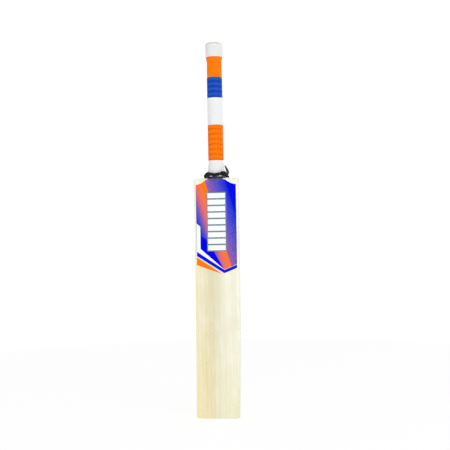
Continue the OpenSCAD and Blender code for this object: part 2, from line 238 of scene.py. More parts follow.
class Material:
    """A procedural material. Colours of three numbers are sRGB, of four are linear."""

    INPUTS = {"color": "Base Color", "rough": "Roughness", "normal": "Normal",
              "spec": "Specular IOR Level", "coat": "Coat Weight",
              "coat_rough": "Coat Roughness", "sheen": "Sheen Weight",
              "sheen_rough": "Sheen Roughness"}

    def __init__(self, name):
        self.data = bpy.data.materials.new(name)
        self.data.use_nodes = True
        self.tree = self.data.node_tree
        self.tree.nodes.clear()
        self.output = self.node("OutputMaterial")
        self.surface = self.value("BsdfPrincipled")
        self.put(self.output.inputs[0], self.surface)
        place = self.value("TexCoord", output="Object")
        # object coordinates in millimetres
        self.xyz = self.split(
            self.value("VectorMath", {0: place, "Scale": 1 / MM}, operation="SCALE"))

    def put(self, socket, value):
        if isinstance(value, Value):
            self.tree.links.new(value.socket, socket)
        elif isinstance(value, tuple) and len(value) == 3:
            socket.default_value = srgb(*value)
        else:
            socket.default_value = value

    def node(self, kind, inputs=(), **settings):
        node = self.tree.nodes.new("ShaderNode" + kind)
        for key, setting in settings.items():
            setattr(node, key, setting)
        for key, value in dict(inputs).items():
            self.put(node.inputs[key], value)
        return node

    def value(self, kind, inputs=(), output=0, **settings):
        return Value(self, self.node(kind, inputs, **settings).outputs[output])

    def split(self, vector):
        return [Value(self, out) for out in self.node("SeparateXYZ", {0: vector}).outputs]

    def normal(self):
        return self.split(self.value("NewGeometry", output="Normal"))

    def pointiness(self):
        return self.value("NewGeometry", output="Pointiness")

    def math(self, kind, *inputs):
        return self.value("Math", enumerate(inputs), operation=kind)

    def vec(self, x, y, z):
        return self.value("CombineXYZ", {0: x, 1: y, 2: z})

    def noise(self, vector, scale=1.0, detail=3.0, rough=0.5):
        return self.value("TexNoise", {"Vector": vector, "Scale": scale,
                                       "Detail": detail, "Roughness": rough})

    def cells(self, vector, scale=1.0):
        return self.value("TexVoronoi", {"Vector": vector, "Scale": scale}, output="Distance")

    def mix(self, factor, first, second):
        return self.value("Mix", {"Factor": factor, 6: first, 7: second}, output=2,
                          data_type="RGBA")

    def bump(self, height, dist, strength):
        """dist is in metres."""
        return self.value("Bump", {"Strength": strength, "Distance": dist, "Height": height})

    def finish(self, **inputs):
        for key, value in inputs.items():
            self.put(self.surface.socket.node.inputs[self.INPUTS[key]], value)
        return self.data


# ------------------------------------------------------------------ wood
def willow():
    mat = Material("willow")
    x, y, z = mat.xyz
    # growth lines about 10 mm apart, bent by a slow waver; the constants in the
    # vectors only pick other parts of the noise
    waver = mat.noise(mat.vec(x * 0.010, y * 0.02, z * 0.0030), detail=2.0, rough=0.4)
    across = x + y * 0.10 + (waver - 0.5) * 9.0
    uneven = mat.noise(mat.vec(across * 0.030, 3.7, 1.1), detail=2.0, rough=0.6)
    ring = across / 10.4 + uneven * 2.6
    line = ring.op("FRACT").levels(
        (0.0, 0.7), (0.03, 1.0), (0.08, 0.35), (0.35, 0.04), (0.72, 0.12), (1.0, 0.7))
    strength = mat.noise(mat.vec(ring.op("FLOOR") * 3.1, 7.3, z * 0.004), detail=2.0, rough=0.6)
    line = line * strength.levels((0.36, 0.10), (0.62, 1.0))
    # long grain, fine and broad
    fibre = mat.noise(mat.vec(across * 1.9, y * 1.9, z * 0.022), detail=5.0, rough=0.62)
    streak = mat.noise(mat.vec(across * 0.42, y * 0.30, z * 0.0040), rough=0.55)
    cloud = mat.noise(mat.vec(x * 0.030, y * 0.03, z * 0.012))
    # the left is warmer than the right, with an abrupt step near the middle
    side_to_side = (across + 56.0) / 112.0
    # the palest stops at both edges, running onto the side faces, are a painted reflection of the
    # bright surroundings
    middle = side_to_side.colours(
        (0.02, 249, 249, 226), (0.075, 243, 241, 202), (0.16, 242, 238, 202),
        (0.27, 236, 229, 193), (0.37, 229, 220, 185), (0.448, 225, 216, 181),
        (0.462, 228, 224, 193), (0.52, 230, 227, 200), (0.63, 238, 237, 214),
        (0.74, 247, 247, 230), (0.84, 241, 242, 220), (0.935, 243, 244, 226),
        (0.965, 250, 251, 240))
    low = side_to_side.colours(
        (0.02, 250, 247, 208), (0.075, 246, 234, 174), (0.16, 245, 233, 182),
        (0.30, 241, 227, 182), (0.448, 239, 227, 184), (0.462, 239, 234, 202),
        (0.60, 241, 239, 209), (0.80, 244, 242, 213), (0.935, 242, 241, 213),
        (0.965, 250, 250, 234))
    toe = (z / 300.0).levels((0.0, 1.0), (0.22, 0.85), (0.75, 0.0))
    wood = mat.mix(toe, middle, low)
    line_amount = line * side_to_side.levels((0.40, 0.38), (0.50, 0.24))
    wood = wood.toward((208, 190, 142), line_amount)
    wood = wood.toward((229, 216, 172), streak.rise(0.46, 0.70) * 0.22)
    wood = wood.toward((253, 251, 232), streak.fall(0.30, 0.46) * 0.35)
    wood = wood.toward((216, 202, 162), fibre.rise(0.45, 0.75) * 0.20)
    wood = wood.toward((231, 216, 176), cloud.rise(0.48, 0.72) * 0.34)
    wood = wood.toward((252, 251, 234), cloud.fall(0.28, 0.46) * 0.25)
    # paler at the shoulders and along the strip left of the panel
    high = z / 600.0
    pale = high.rise(0.845, 0.895) * side_to_side.levels((0.12, 0.54), (0.24, 0.36), (0.70, 0.42))
    strip = high.rise(0.62, 0.70) * side_to_side.levels((0.07, 0.42), (0.115, 0.0))
    wood = wood.toward((247, 251, 244), pale.op("MAXIMUM", strip))
    # long nested arches on the side edges, where the rings are cut flat
    normal_x, _, normal_z = mat.normal()
    side = normal_x.op("ABSOLUTE").rise(0.55, 0.85)
    hill = mat.noise(mat.vec(x * 0.02, y * 0.045, z * 0.0065), detail=1.0, rough=0.35)
    arch = (hill * 13.0).op("FRACT").levels(
        (0.0, 1.0), (0.12, 0.45), (0.5, 0.0), (0.88, 0.25), (1.0, 1.0))
    wood = wood.toward((206, 186, 138), arch * side * 0.34)
    # pin knots on the face: x, z, radius
    for knot_x, knot_z, radius in ((-14.6, 216.0, 1.0), (-5.4, 202.0, 0.8),
                                   (-14.8, 193.0, 0.9), (-27.0, 126.0, 1.1)):
        off_x = (x - knot_x) / radius
        off_z = (z - knot_z) / (radius * 1.5)
        distance = (off_x * off_x + off_z * off_z).op("SQRT")
        spot = distance.fall(0.25, 1.0) * y.op("LESS_THAN", AXIS_Y - 10.0)
        wood = wood.toward((150, 128, 104), spot * 0.75)
    # pores in the end grain
    end = normal_z.op("ABSOLUTE").rise(0.80, 0.97)
    pore = mat.cells(mat.vec(x * 2.6, y * 2.6, z * 0.3))
    wood = wood.toward((196, 170, 118), end * pore.levels((0.0, 0.55), (0.45, 0.15)))
    relief = fibre * 1.0 + line * -0.5
    relief = relief - end * pore.fall(0.0, 0.3) * 1.5
    return mat.finish(color=wood, rough=0.46 + fibre * 0.14, spec=0.35, coat=0.06,
                      coat_rough=0.35, normal=mat.bump(relief, dist=0.00012, strength=0.55))


CANE_SHADES = ((214, 184, 132), (204, 171, 118), (221, 192, 142))


def cane(tone):
    """One of the cane shades; the tone also shifts its grain."""
    mat = Material("cane_%d" % tone)
    x, y, z = mat.xyz
    fibre = mat.noise(mat.vec(x * 1.5 + 13.1 * tone, y * 1.5, z * 0.018), detail=5.0, rough=0.6)
    broad = mat.noise(mat.vec(x * 0.3, y * 0.3 + tone, z * 0.01), detail=2.0)
    wood = mat.mix(fibre.levels((0.38, 0.0), (0.68, 0.8)), CANE_SHADES[tone], (160, 122, 74))
    wood = wood.toward((226, 200, 150), broad * 0.4)
    # vessels show as dots on the ends
    end = mat.normal()[2].op("ABSOLUTE").rise(0.80, 0.97)
    dot = end * mat.cells(mat.vec(x * 1.9, y * 1.9, 0.0)).fall(0.12, 0.30)
    wood = wood.toward((92, 62, 36), dot * 0.85)
    return mat.finish(color=wood, rough=0.5, spec=0.4,
                      normal=mat.bump(fibre - dot, dist=0.00015, strength=0.5))


# ------------------------------------------------------------------ thread, rubber, cord
def cork_rubber():
    mat = Material("cork_rubber")
    grain = mat.cells(mat.vec(*mat.xyz), scale=1.4)
    colour = grain.colours((0.1, 96, 62, 38), (0.5, 150, 104, 66), (0.9, 186, 140, 94))
    return mat.finish(color=colour, rough=0.85, spec=0.25,
                      normal=mat.bump(grain, dist=0.0002, strength=0.5))


def thread():
    mat = Material("linen_thread")
    x, y, z = mat.xyz
    pitch, phase = 0.9, 0.0                      # of the turns up the handle
    turns = (z / pitch + phase).op("FRACT")
    # each turn is painted lighter on its crown and darker at its edges: painted highlight and
    # painted shade
    crown = turns.levels((0.0, 0.0), (0.25, 0.8), (0.5, 1.0), (0.75, 0.8), (1.0, 0.0))
    fuzz = mat.noise(mat.vec(x * 2.0, y * 2.0, z * 3.0), detail=4.0, rough=0.6)
    light = (crown * (0.55 + fuzz * 0.6)).clamped()
    return mat.finish(color=mat.mix(light, (16, 18, 22), (88, 94, 104)), rough=0.7, spec=0.2,
                      sheen=0.1, normal=mat.bump(crown, dist=0.0003, strength=0.8))


def rubber(name, body, shade_and_mottle, painted_highlight, rough=0.55, spec=0.35, ribs=None):
    """Moulded rubber with painted shade in hollows and a painted highlight on high parts; ribs:
    low z, high z, count.
    """
    mat = Material(name)
    x, y, z = mat.xyz

    def dimmed(share):
        return tuple(v * share for v in srgb(*body)[:3]) + (1,)

    place = mat.vec(x, y, z)
    skin = mat.noise(place, scale=5.0, rough=0.6)
    cloud = mat.noise(place, scale=0.07)
    point = mat.pointiness()
    spots = mat.noise(place, scale=0.38, detail=4.0, rough=0.65)
    colour = mat.mix(cloud * 0.35, body, dimmed(0.93))
    colour = colour.toward(dimmed(0.90), spots.rise(0.50, 0.72) * 0.30)
    # painted shade in the concave hollows and painted highlight on the convex high parts, found
    # by pointiness
    colour = colour.toward(shade_and_mottle, point.fall(0.46, 0.50) * 0.75)
    colour = colour.toward(painted_highlight, point.rise(0.505, 0.56) * 0.35)
    # fine random mottling in the same darker tone
    colour = colour.toward(shade_and_mottle, skin.rise(0.55, 0.8) * 0.10)
    if ribs:                                     # painted shade in the grooves, painted highlight on the crests
        bottom, top, count = ribs
        off_y = y - AXIS_Y
        radius = (x * x + off_y * off_y).op("SQRT")
        phase = (z - bottom + off_y / radius * RIB_TILT) / ((top - bottom) / count)
        wobble = mat.noise(mat.vec(x * 0.06, y * 0.06, z * 0.05), detail=2.0)
        rib = (phase + (wobble - 0.5) * 0.10).op("FRACT")
        groove = rib.levels(
            (0.0, 1.0), (0.06, 0.75), (0.17, 0.0), (0.86, 0.0), (0.95, 0.8), (1.0, 1.0))
        crest = rib.levels((0.36, 0.0), (0.52, 1.0), (0.66, 0.0))
        colour = colour.toward(shade_and_mottle, groove * (0.55 + wobble) * 0.62)
        colour = colour.toward(painted_highlight, crest * wobble * 0.40)
    return mat.finish(color=colour, rough=(rough - 0.06) + skin * 0.14, spec=spec,
                      normal=mat.bump(skin, dist=0.00010, strength=0.6))


def cord_black():
    mat = Material("black_cord")
    x, y, z = mat.xyz
    fuzz = mat.noise(mat.vec(x, y, z), scale=2.2, detail=5.0, rough=0.65)
    # painted highlight on the cord's convex parts, found by pointiness
    high = mat.pointiness().rise(0.49, 0.55)
    # crossing yarns of the braid, laid round the handle
    turn = (y - AXIS_Y).op("ARCTAN2", x) * 62.0
    climb = z * 2.1
    warp = (turn + climb).op("SINE").op("ABSOLUTE")
    weft = (turn - climb).op("SINE").op("ABSOLUTE")
    yarn = warp.op("MAXIMUM", weft)
    colour = mat.mix(fuzz.rise(0.35, 0.75), (3, 6, 10), (16, 21, 28))
    # the crests of the yarns are painted lighter: a painted highlight
    colour = colour.toward((34, 40, 50), yarn.rise(0.70, 0.98) * 0.55)
    colour = colour.toward((36, 40, 49), high * 0.3)
    return mat.finish(color=colour, rough=0.55, spec=0.13, sheen=0.02, sheen_rough=0.45,
                      normal=mat.bump(yarn + fuzz * 0.4, dist=0.00035, strength=0.7))


def cord_grey():
    mat = Material("grey_thread")
    x, y, z = mat.xyz
    fuzz = mat.noise(mat.vec(x, y, z), scale=2.6, detail=4.0, rough=0.6)
    # slanting plies
    turn = (y - AXIS_Y).op("ARCTAN2", x) * 42.0
    ply = (turn + z * 1.5).op("SINE").op("ABSOLUTE")
    body = mat.mix(fuzz, (52, 58, 67), (104, 112, 123))
    # darker between the plies: painted shade in the grooves
    return mat.finish(color=body.toward((18, 21, 26), ply.fall(0.15, 0.75)), rough=0.75,
                      spec=0.10, sheen=0.1,
                      normal=mat.bump(ply + fuzz * 0.4, dist=0.0004, strength=0.8))


def cord_tail():
    mat = Material("tape_end_painted_reflection")
    x, _, z = mat.xyz
    warp = ((z + x * 0.8) / 1.3).op("FRACT")
    weft = ((z - x * 0.8) / 1.3).op("FRACT")
    weave = warp.op("PINGPONG", 0.5) * weft.op("PINGPONG", 0.5)
    # the paler grey towards the tip is a painted reflection on the dark tape
    colour = ((z - (SHOULDER_Z + 6.0)) / 24.0).colours(
        (0.0, 40, 44, 50), (0.35, 118, 122, 126), (0.8, 134, 134, 138), (1.0, 170, 170, 176))
    # darker lines between the woven threads are painted shade
    colour = mat.mix((weave * 2.2).clamped(), (22, 24, 28), colour)
    return mat.finish(color=colour, rough=0.7, spec=0.4, sheen=0.3,
                      normal=mat.bump(weave, dist=0.0003, strength=0.8))


# ------------------------------------------------------------------ printed films
def film_waves(mat):
    x, y, z = mat.xyz
    wave = mat.noise(mat.vec(x * 0.3, y * 0.3, z * 0.05), detail=2.0)
    return mat.bump(wave, dist=0.00005, strength=0.4)


def film(name, rgb, keyline=None):
    """A plain film; keyline: the x it lies to the left of, and its colour."""
    mat = Material(name)
    x, y, z = mat.xyz
    cell = mat.noise(mat.vec(x, y, z), scale=1.1, detail=2.0, rough=0.6)
    lighter = tuple(min(255, level + 40) for level in rgb)
    colour = mat.mix(cell.rise(0.45, 0.8) * 0.10, rgb, lighter)
    if keyline:
        colour = colour.toward(keyline[1], x.op("LESS_THAN", keyline[0]))
    return mat.finish(color=colour, rough=0.34, spec=0.05, coat=0.0, coat_rough=0.2,
                      normal=film_waves(mat))


def panel_film():
    """Fades from one slanting line: purple to blue on its right, orange to blue on its left."""
    mat = Material("panel_film")
    x, y, z = mat.xyz
    # the line passes through x -24.8, z 546.3 and moves right as it goes down
    beside = x - (-24.8 + (546.3 - z) * 0.2991)
    jitter = (mat.noise(mat.vec(x, y, z), scale=0.9, rough=0.7) - 0.5) * 5.0
    fade_w = 70.0
    right = ((beside + jitter) / fade_w).colours(
        (0.0, 150, 93, 166), (0.07, 143, 92, 168), (0.23, 110, 82, 186), (0.33, 88, 79, 194),
        (0.43, 66, 68, 202), (0.53, 46, 57, 209), (0.655, 26, 46, 212), (0.70, 1, 8, 223),
        (1.0, 0, 4, 222))
    # the left fade starts sooner low down
    sooner = ((z - 300.0) / 200.0).levels((0.44, 8.0 / fade_w), (0.66, 0.0))
    left = (-0.022 + ((beside * -1.0 + jitter * 0.6) / fade_w + sooner)).colours(
        (0.0, 253, 122, 2), (0.08, 252, 122, 8), (0.135, 250, 120, 28), (0.185, 248, 118, 62),
        (0.27, 240, 113, 88), (0.335, 226, 109, 110), (0.40, 190, 101, 138),
        (0.45, 164, 95, 158), (0.51, 116, 87, 180), (0.55, 98, 84, 190), (0.61, 58, 70, 209),
        (0.70, 30, 58, 216), (1.0, 12, 40, 222))
    colour = mat.mix(beside.op("GREATER_THAN", 0.0), left, right)
    # low on the panel a second slanting line cuts the fade off, plain blue to its left
    second_line = -6.1 + (383.4 - z) * 0.563
    level = 421.0 - (x + 33.0) * 0.5
    below = ((level - z) / 7.0).clamped()
    beyond = ((second_line - x) / 1.2 + 0.5).clamped() * below
    colour = colour.toward((0, 4, 224), beyond)
    # fine specks, then coarser light and dark dots, where the ink fades on the right
    speck = mat.cells(mat.vec(x, y, z), scale=0.80)
    patch = mat.noise(mat.vec(x, y, z), scale=0.05, detail=2.0)
    faded = (beside / 60.0).levels((0.0, 1.0), (0.55, 0.75), (0.75, 0.0))
    faded = faded * beside.op("GREATER_THAN", 0.0)
    amount = patch.levels((0.35, 0.18), (0.65, 0.40)) * faded
    colour = colour.toward((176, 150, 222), speck.fall(0.06, 0.34) * amount)
    dots = mat.cells(mat.vec(x, y, z), scale=0.46)
    chance = mat.noise(mat.vec(x, y, z), scale=0.52, detail=1.0)
    shown = dots.fall(0.22, 0.42) * faded
    colour = colour.toward((178, 160, 232), shown * chance.rise(0.50, 0.55) * 0.58)
    colour = colour.toward((58, 52, 196), shown * chance.fall(0.45, 0.50) * 0.46)
    return mat.finish(color=colour, rough=0.38, spec=0.02, coat=0.0, coat_rough=0.25,
                      normal=film_waves(mat))


def back_film():
    """Blue at the bottom to orange at the top, shifted towards orange away from the middle."""
    mat = Material("back_gradient_film")
    x, y, z = mat.xyz
    up = (z - 276.0 + x.op("ABSOLUTE") * 0.5) / 120.0
    grain = mat.noise(mat.vec(x, y, z), scale=0.9, rough=0.7)
    colour = (up + (grain - 0.5) * 0.10).colours(
        (0.0, 2, 14, 228), (0.25, 20, 40, 220), (0.45, 110, 84, 186), (0.6, 190, 101, 138),
        (0.75, 244, 115, 80), (0.95, 252, 122, 8))
    return mat.finish(color=colour, rough=0.36, spec=0.08, coat=0.02, coat_rough=0.25)


FILM_WHITE = (244, 250, 249)
MATERIALS = {
    "willow": willow(),
    "cork": cork_rubber(),
    "thread": thread(),
    "white": rubber("grip_white", body=(238, 240, 239), shade_and_mottle=(198, 202, 206),
                    painted_highlight=(250, 250, 249), spec=0.3),
    "cap": rubber("grip_cap_white", body=(231, 233, 230), shade_and_mottle=(194, 198, 200),
                  painted_highlight=(246, 247, 245), spec=0.25),
    "orange": rubber("grip_orange", body=(254, 123, 0), shade_and_mottle=(226, 94, 0),
                     painted_highlight=(255, 150, 56), rough=0.52, spec=0.08),
    "ribbed_orange": rubber("grip_orange_ribbed", body=(252, 119, 0), shade_and_mottle=(212, 84, 0),
                            painted_highlight=(255, 148, 56), rough=0.52, spec=0.05,
                            ribs=(*span_z("grip_band_orange_lower"), LOWER_RIBS)),
    "blue": rubber("grip_blue", body=(3, 71, 189), shade_and_mottle=(1, 25, 112),
                   painted_highlight=(78, 140, 238), rough=0.36, spec=0.13,
                   ribs=(*span_z("grip_band_blue"), BLUE_RIBS)),
    "cord": cord_black(),
    "tail": cord_tail(),
    "panel": panel_film(),
    "back": back_film(),
    "film_white": film("film_white", FILM_WHITE),
    "film_keyed": film("film_keyed_white", FILM_WHITE, keyline=(-46.0, (176, 184, 186))),
    "film_blue": film("film_blue", (2, 16, 226)),
    "film_orange": film("film_orange", (253, 123, 6)),
    "film_grey": film("film_grey", (122, 137, 152)),
    "cord_grey": cord_grey(),
}
CANES = [cane(tone) for tone in range(3)]


# ------------------------------------------------------------------ mesh helpers
def finish_mesh(mesh, material, sharp):
    """sharp: angle in degrees above which an edge stays sharp"""
    mesh.materials.clear()
    mesh.materials.append(MATERIALS[material])
    mesh.shade_smooth()
    mesh.set_sharp_from_angle(angle=math.radians(sharp))


def build(name, verts, faces, material, slot, replaced=(), sharp=38.0):
    mesh = bpy.data.meshes.new(name)
    mesh.from_pydata((np.asarray(verts, float) * MM).tolist(), [],
                     [list(map(int, face)) for face in faces])
    work = bmesh.new()
    work.from_mesh(mesh)
    bmesh.ops.remove_doubles(work, verts=work.verts, dist=1e-7)
    bmesh.ops.dissolve_degenerate(work, edges=work.edges, dist=1e-7)
    bmesh.ops.recalc_face_normals(work, faces=work.faces)
    work.to_mesh(mesh)
    work.free()
    piece = bpy.data.objects.new(name, mesh)
    bpy.context.scene.collection.objects.link(piece)
    finish_mesh(mesh, material, sharp)
    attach(piece, "root")
    if replaced:
        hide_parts(*replaced)
    return piece


def wall_faces(rings, points, closed=False):
    """Quads between rings of points; closed joins the last ring to the first."""
    faces = []
    for i in range(rings if closed else rings - 1):
        here, there = i * points, (i + 1) % rings * points
        for j in range(points):
            after = (j + 1) % points
            faces.append((here + j, here + after, there + after, there + j))
    return faces


def loft_faces(rings, points):
    """Walls plus end faces for flat rings, bridged from their near to their far half."""
    faces = wall_faces(rings, points)
    end = (rings - 1) * points
    for k in range(points // 2 - 1):
        faces.append((k, points - 1 - k, points - 2 - k, k + 1))
        faces.append((end + k, end + k + 1, end + points - 2 - k, end + points - 1 - k))
    return faces


# ------------------------------------------------------------------ blade
SIDE_ARC = np.radians(np.linspace(0, 90, 9))
ROW_SPREAD = np.linspace(-1, 1, 75)[1:-1]


def corner_inset(rise, radius):
    """How far a rounded corner pulls the outline in, at a distance from the end."""
    if rise >= radius:
        return 0.0
    return radius - math.sqrt(max(0.0, radius * radius - (radius - max(rise, 0.0)) ** 2))


def placed_z(x, z):
    """The toe's corners lift and the shoulders fall away to the sides."""
    beyond_toe = np.maximum(np.abs(x) - 38, 0) / (SHOULDER_HALF_W - 38)
    beyond_middle = np.maximum(np.abs(x) - 24, 0) / (SHOULDER_HALF_W - 24)
    lift = 0.8 * beyond_toe ** 2 * max(1 - z / 60, 0)
    drop = 1.6 * beyond_middle ** 2 * max((z - SHOULDER_Z + 70) / 70, 0)
    return z + lift - drop


def blade_row(z, inset, surface, inward):
    """Points from left to right on the face (inward 1) or the back (inward -1)."""
    half = half_width(z) - inset - corner_inset(z, TOE_CORNER_R) \
        - corner_inset(SHOULDER_Z - z, SHOULDER_CORNER_R)
    flat = half - SIDE_R
    edge = float(surface(flat, z) + inward * inset)
    arc_x = flat + SIDE_R * np.cos(SIDE_ARC)
    arc_y = edge + inward * SIDE_R * (1 - np.sin(SIDE_ARC))
    middle_x = flat * ROW_SPREAD
    middle_y = surface(middle_x, z) + inward * inset
    x = np.concatenate([-arc_x, middle_x, arc_x[::-1]])
    y = np.concatenate([arc_y, middle_y, arc_y[::-1]])
    return np.stack([x, y, placed_z(x, z)], axis=1)


def blade_stations():
    """(z, inset) of every ring, closer together at the rounded ends."""
    stations = [(TOE_ROUND * (1 - cosine), TOE_ROUND * (1 - sine))
                for cosine, sine in quarter_turn(5)]
    heights = [2.2, 3.0, 4.0, 5.0, 6.2, 8.0, *np.arange(12.0, SHOULDER_Z - 14.0, 4.0)]
    heights += [SHOULDER_Z - down for down in (11, 8, 6.5, 5.2, 4.2, 3.3)]
    stations += [(z, 0.0) for z in heights]
    stations += [(SHOULDER_Z - SHOULDER_ROUND + SHOULDER_ROUND * sine,
                  SHOULDER_ROUND * (1 - cosine)) for cosine, sine in quarter_turn(5)]
    return stations


def make_v_cutter():
    top_half = V_MOUTH_HALF_W + (V_MOUTH_HALF_W - V_TIP_HALF_W) * V_OVERRUN / (
        SHOULDER_Z - V_TIP_Z)
    low, high = V_TIP_Z - 0.05, SHOULDER_Z + V_OVERRUN
    outline = [(-V_TIP_HALF_W, low), (V_TIP_HALF_W, low), (top_half, high), (-top_half, high)]
    verts = [(x * MM, y * MM, z * MM) for y in (-60, 140) for x, z in outline]
    faces = [(0, 1, 2, 3), (7, 6, 5, 4), (0, 4, 5, 1), (1, 5, 6, 2), (2, 6, 7, 3), (3, 7, 4, 0)]
    mesh = bpy.data.meshes.new("v_cut")
    mesh.from_pydata(verts, [], faces)
    cutter = bpy.data.objects.new("v_cut", mesh)
    bpy.context.scene.collection.objects.link(cutter)
    return cutter


def make_blade():
    rings = [np.concatenate([blade_row(z, inset, face_y, 1),
                             blade_row(z, inset, back_y, -1)[::-1]])
             for z, inset in blade_stations()]
    blade = build("willow_blade", np.concatenate(rings), loft_faces(len(rings), len(rings[0])),
                  "willow", "willow", ("blade",), sharp=32)
    # cut the V and keep the result as the blade's own mesh
    cutter = make_v_cutter()
    cut = blade.modifiers.new("v", "BOOLEAN")
    cut.operation = "DIFFERENCE"
    cut.solver = "EXACT"
    cut.object = cutter
    depsgraph = bpy.context.evaluated_depsgraph_get()
    mesh = bpy.data.meshes.new_from_object(blade.evaluated_get(depsgraph))
    blade.modifiers.clear()
    uncut = blade.data
    blade.data = mesh
    mesh.name = "willow_blade"
    bpy.data.meshes.remove(uncut)
    bpy.data.objects.remove(cutter)
    finish_mesh(mesh, "willow", sharp=32)


make_blade()


# ------------------------------------------------------------------ handle, kept from the CAD
def paint(piece, material):
    nodes[piece].data.materials.clear()
    nodes[piece].data.materials.append(material)


for i, row in enumerate(("front", "midfront", "midrear", "rear")):
    for j, column in enumerate(("left", "centre", "right")):
        paint("cane_%s_%s" % (row, column), CANES[(i + 2 * j) % 3])
for spring in ("spring_front", "spring_middle", "spring_rear"):
    paint(spring, MATERIALS["cork"])
paint("twine_binding", MATERIALS["thread"])


# ------------------------------------------------------------------ rubber grip
RING_STEP = 0.55                                # between rings on the textured ends


def revolve(name, profile, material, slot, replaced, segs, relief):
    """Turn a closed profile about the handle's axis.

    profile: (half width, half depth, z, share of relief); relief(angle, z) adds radius.
    """
    half_w, half_d, z, share = np.array(profile, float).T[:, :, None]
    angle = np.linspace(0, 2 * PI, segs, endpoint=False)[None, :] + 0 * z
    z = z + 0 * angle
    out = relief(angle, z) * share
    points = np.stack([(half_w + out) * np.cos(angle), AXIS_Y + (half_d + out) * np.sin(angle),
                       z], axis=2).reshape(-1, 3)
    build(name, points, wall_faces(len(profile), segs, closed=True), material, slot,
          (replaced,), sharp=50.0)


def relief_share(z, low, high, fade):
    """Relief fades out towards both ends."""
    return float(min(1.0, max(0.0, (z - low) / fade), max(0.0, (high - z) / fade)))


def band_profile(bottom, top, outer):
    """outer(z) is the radius; both ends turn in over a small rounded lip."""
    lip = 0.45
    points = [(outer(bottom) - lip + lip * sine, bottom + lip * (1 - cosine), 0.0)
              for cosine, sine in quarter_turn(4)[:4]]
    for z in np.arange(bottom + lip, top - lip + 1e-6, 0.5):
        points.append((outer(z), z, relief_share(z, bottom + lip, top - lip, fade=1.2)))
    points += [(outer(top) - lip + lip * sine, top - lip * (1 - cosine), 0.0)
               for cosine, sine in quarter_turn(4)[::-1]]
    points += [(bore(z), z, 0.0)
               for z in np.linspace(top, bottom, max(2, int((top - bottom) / 3)))]
    return [(radius, radius, z, share) for radius, z, share in points]


def rib_relief(bottom, top, count, seed):
    """Rounded ribs that wander a little, with fine ripples and slow lumps."""
    def relief(angle, z):
        phase = PI * count * (z - bottom + RIB_TILT * np.sin(angle)) / (top - bottom)
        phase = phase + 0.16 * np.sin(angle + seed) \
            + 0.10 * np.sin(2 * angle + 1.3 + seed) * np.sin(0.21 * z + seed)
        ribs = 0.50 * np.abs(np.sin(phase)) ** 0.55
        fine = 0.045 * np.sin(46 * angle + 0.4 * np.sin(0.9 * z)) * np.sin(2.9 * z)
        lump = 0.09 * np.sin(3 * angle + 0.13 * z + seed) * np.sin(0.31 * z + 2 * angle)
        return ribs + fine + lump
    return relief


def pimple_relief(height):
    """Rows of small raised diamonds, every other row offset."""
    around, pitch = 38, 2.8

    def relief(angle, z):
        wave = np.cos(around * angle) * np.cos(2 * PI * z / pitch)
        lump = 0.10 * np.sin(2 * angle + 0.09 * z) * np.sin(0.17 * z + 1.1)
        return height * np.sign(wave) * np.abs(wave) ** 0.7 + lump
    return relief


def fold_relief(angle, z):
    """A few shallow stretch folds."""
    fold = np.sin(2 * PI * z / 9.5 + 0.5 * np.sin(angle + 0.7))
    return 0.10 * fold * (0.6 + 0.4 * np.sin(2 * angle + 0.2 * z)) \
        + 0.07 * np.sin(3 * angle + 0.2 * z)


def make_ribbed_band(name, material, replaced, count, seed):
    bottom, top = span_z(replaced)
    revolve(name, band_profile(bottom, top, lambda z: GRIP_R), material,
            name.replace("_lower", ""), replaced, 160, rib_relief(bottom, top, count, seed))


def make_white_band():
    bottom, top = span_z("grip_band_white")

    def outer(z):
        return GRIP_R + 0.32 + 0.95 * float(ease((z - top + 8) / 5)) \
            - 0.25 * float(ease((z - top + 1.6) / 1.6))

    revolve("grip_white_middle", band_profile(bottom, top, outer), "white", "grip_white",
            "grip_band_white", 228, pimple_relief(0.13))


def make_upper_band():
    bottom, top = span_z("grip_band_orange_upper")

    def outer(z):
        return GRIP_R - 0.28 + 0.10 * math.sin((z - bottom) * 0.13) \
            + 1.70 * float(ease((z - top + 13) / 12))

    revolve("grip_orange_upper", band_profile(bottom, top, outer), "orange", "grip_orange",
            "grip_band_orange_upper", 144, fold_relief)


def make_grip_end():
    """Thick white end, domed, with a small dimple in the middle of its top."""
    bottom, top = span_z("grip_end_cap")
    lip, dome = 0.9, 6
    points = [(CAP_R - lip + lip * sine, bottom + lip * (1 - cosine), 0.0)
              for cosine, sine in quarter_turn(4)]
    for z in np.arange(bottom + 1.3, top - 6.0, RING_STEP):
        points.append((CAP_R - 0.12, z, 0.8 * relief_share(z, bottom + 1.0, top - 5.0, fade=2.0)))
    for k, (cosine, sine) in enumerate(quarter_turn(14)):
        points.append((CAP_R - dome + dome * cosine, top - dome + dome * sine,
                       0.25 * max(0.0, 1 - k / 6)))
    # radius and drop below the top, from the flat in to the dimple
    for radius, drop in ((11.5, 0.05), (9.0, 0.25), (7.6, 0.55), (6.8, 0.95), (6.3, 1.4),
                         (6.05, 1.9), (6.0, 2.4), (bore(top), 2.4), (bore(top), 10)):
        points.append((radius, top - drop, 0.0))
    points += [(bore(top), FLARE_Z + 14, 0.0), (bore(FLARE_Z + 9), FLARE_Z + 9, 0.0),
               (bore(bottom), bottom, 0.0)]
    revolve("grip_end", [(radius, radius, z, share) for radius, z, share in points], "cap",
            "grip_white", "grip_end_cap", 228, pimple_relief(0.11))


